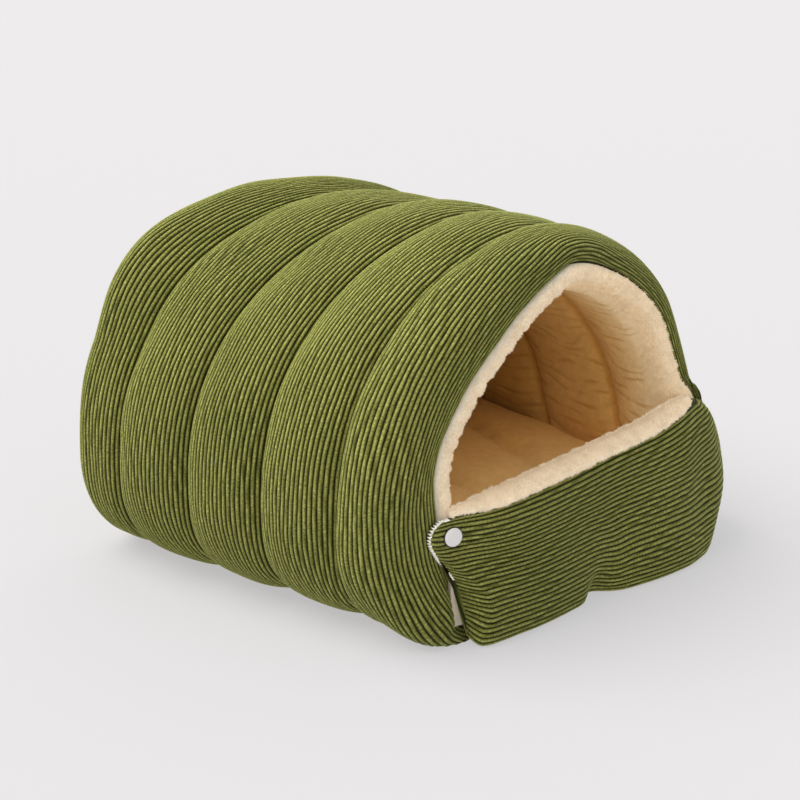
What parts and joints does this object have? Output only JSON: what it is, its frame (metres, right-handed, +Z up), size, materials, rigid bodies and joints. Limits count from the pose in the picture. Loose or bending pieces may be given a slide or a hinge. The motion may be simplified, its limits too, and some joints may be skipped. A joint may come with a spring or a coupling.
{
  "type": "dog cave bed",
  "caption": "Padded corduroy cave bed: a channelled tunnel with a plush inside, a closed back, a floor pad and a low front flap held by a snap.",
  "frame": {"origin": "middle of the bed's footprint on the floor", "axes": "+Z up, the mouth and the flap face -Y, +X to the right as seen from the mouth"},
  "size_m": [0.5636, 0.4474, 0.3361],
  "materials": {
    "corduroy": "olive green wide-wale corduroy, matt",
    "plush": "cream short plush, matt",
    "snap": "satin white"
  },
  "bodies": {
    "root": {"tunnel_cover": "corduroy", "tunnel_lining": "plush", "floor_pad": "plush", "back_lining": "plush", "back_panel": "corduroy", "flap_panel": "corduroy", "flap_lining": "plush", "snap_cap": "snap"}
  },
  "joints": []
}
